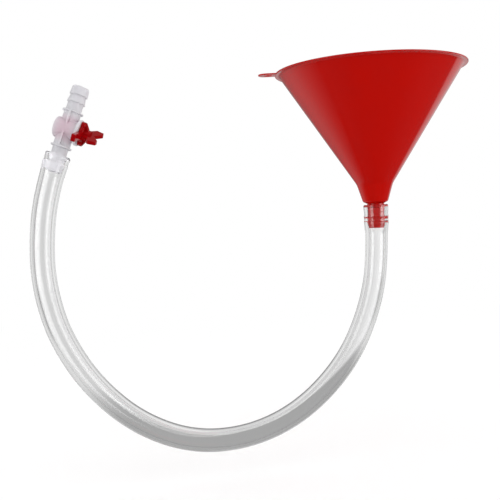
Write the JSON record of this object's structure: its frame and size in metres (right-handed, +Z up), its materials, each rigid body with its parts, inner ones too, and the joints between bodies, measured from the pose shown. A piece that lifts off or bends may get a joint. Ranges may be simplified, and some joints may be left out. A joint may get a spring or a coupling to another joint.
{
  "type": "funnel with hose and shut-off valve",
  "caption": "Large pouring funnel with a clear flexible hose pushed on its spout and a barbed quarter-turn shut-off valve with a winged handle on the hose's far end.",
  "frame": {"origin": "on the funnel's axis, at the foot of the shoulder where the spout begins", "axes": "+Z up along the funnel's axis, the hose hangs in the XZ plane and the valve is on the -X side"},
  "size_m": [0.3708, 0.1626, 0.3135],
  "materials": {
    "funnel_red": "smooth glossy red polypropylene",
    "hose_clear": "clear flexible PVC, glossy",
    "body_natural": "natural translucent polypropylene, satin",
    "seat_white": "white PTFE",
    "valve_red": "glossy red moulded plastic",
    "seal_rubber": "black nitrile"
  },
  "bodies": {
    "funnel_and_hose": {"funnel": "funnel_red", "hose": "hose_clear", "valve_body": "body_natural", "bonnet": "body_natural", "seat_inlet": "seat_white", "seat_outlet": "seat_white", "thrust_washer": "seat_white", "bonnet_o_ring": "seal_rubber"},
    "valve_handle": {"handle": "valve_red", "stem": "valve_red", "ball": "valve_red", "stem_o_ring_inner": "seal_rubber", "stem_o_ring_outer": "seal_rubber"}
  },
  "joints": [
    {"name": "handle_turn", "type": "hinge", "parent": "funnel_and_hose", "child": "valve_handle", "pos_m": [-0.2547, 0.001, 0.0707], "axis": [0.901, -0.2586, -0.3482], "range_deg": [-22, 68]}
  ]
}
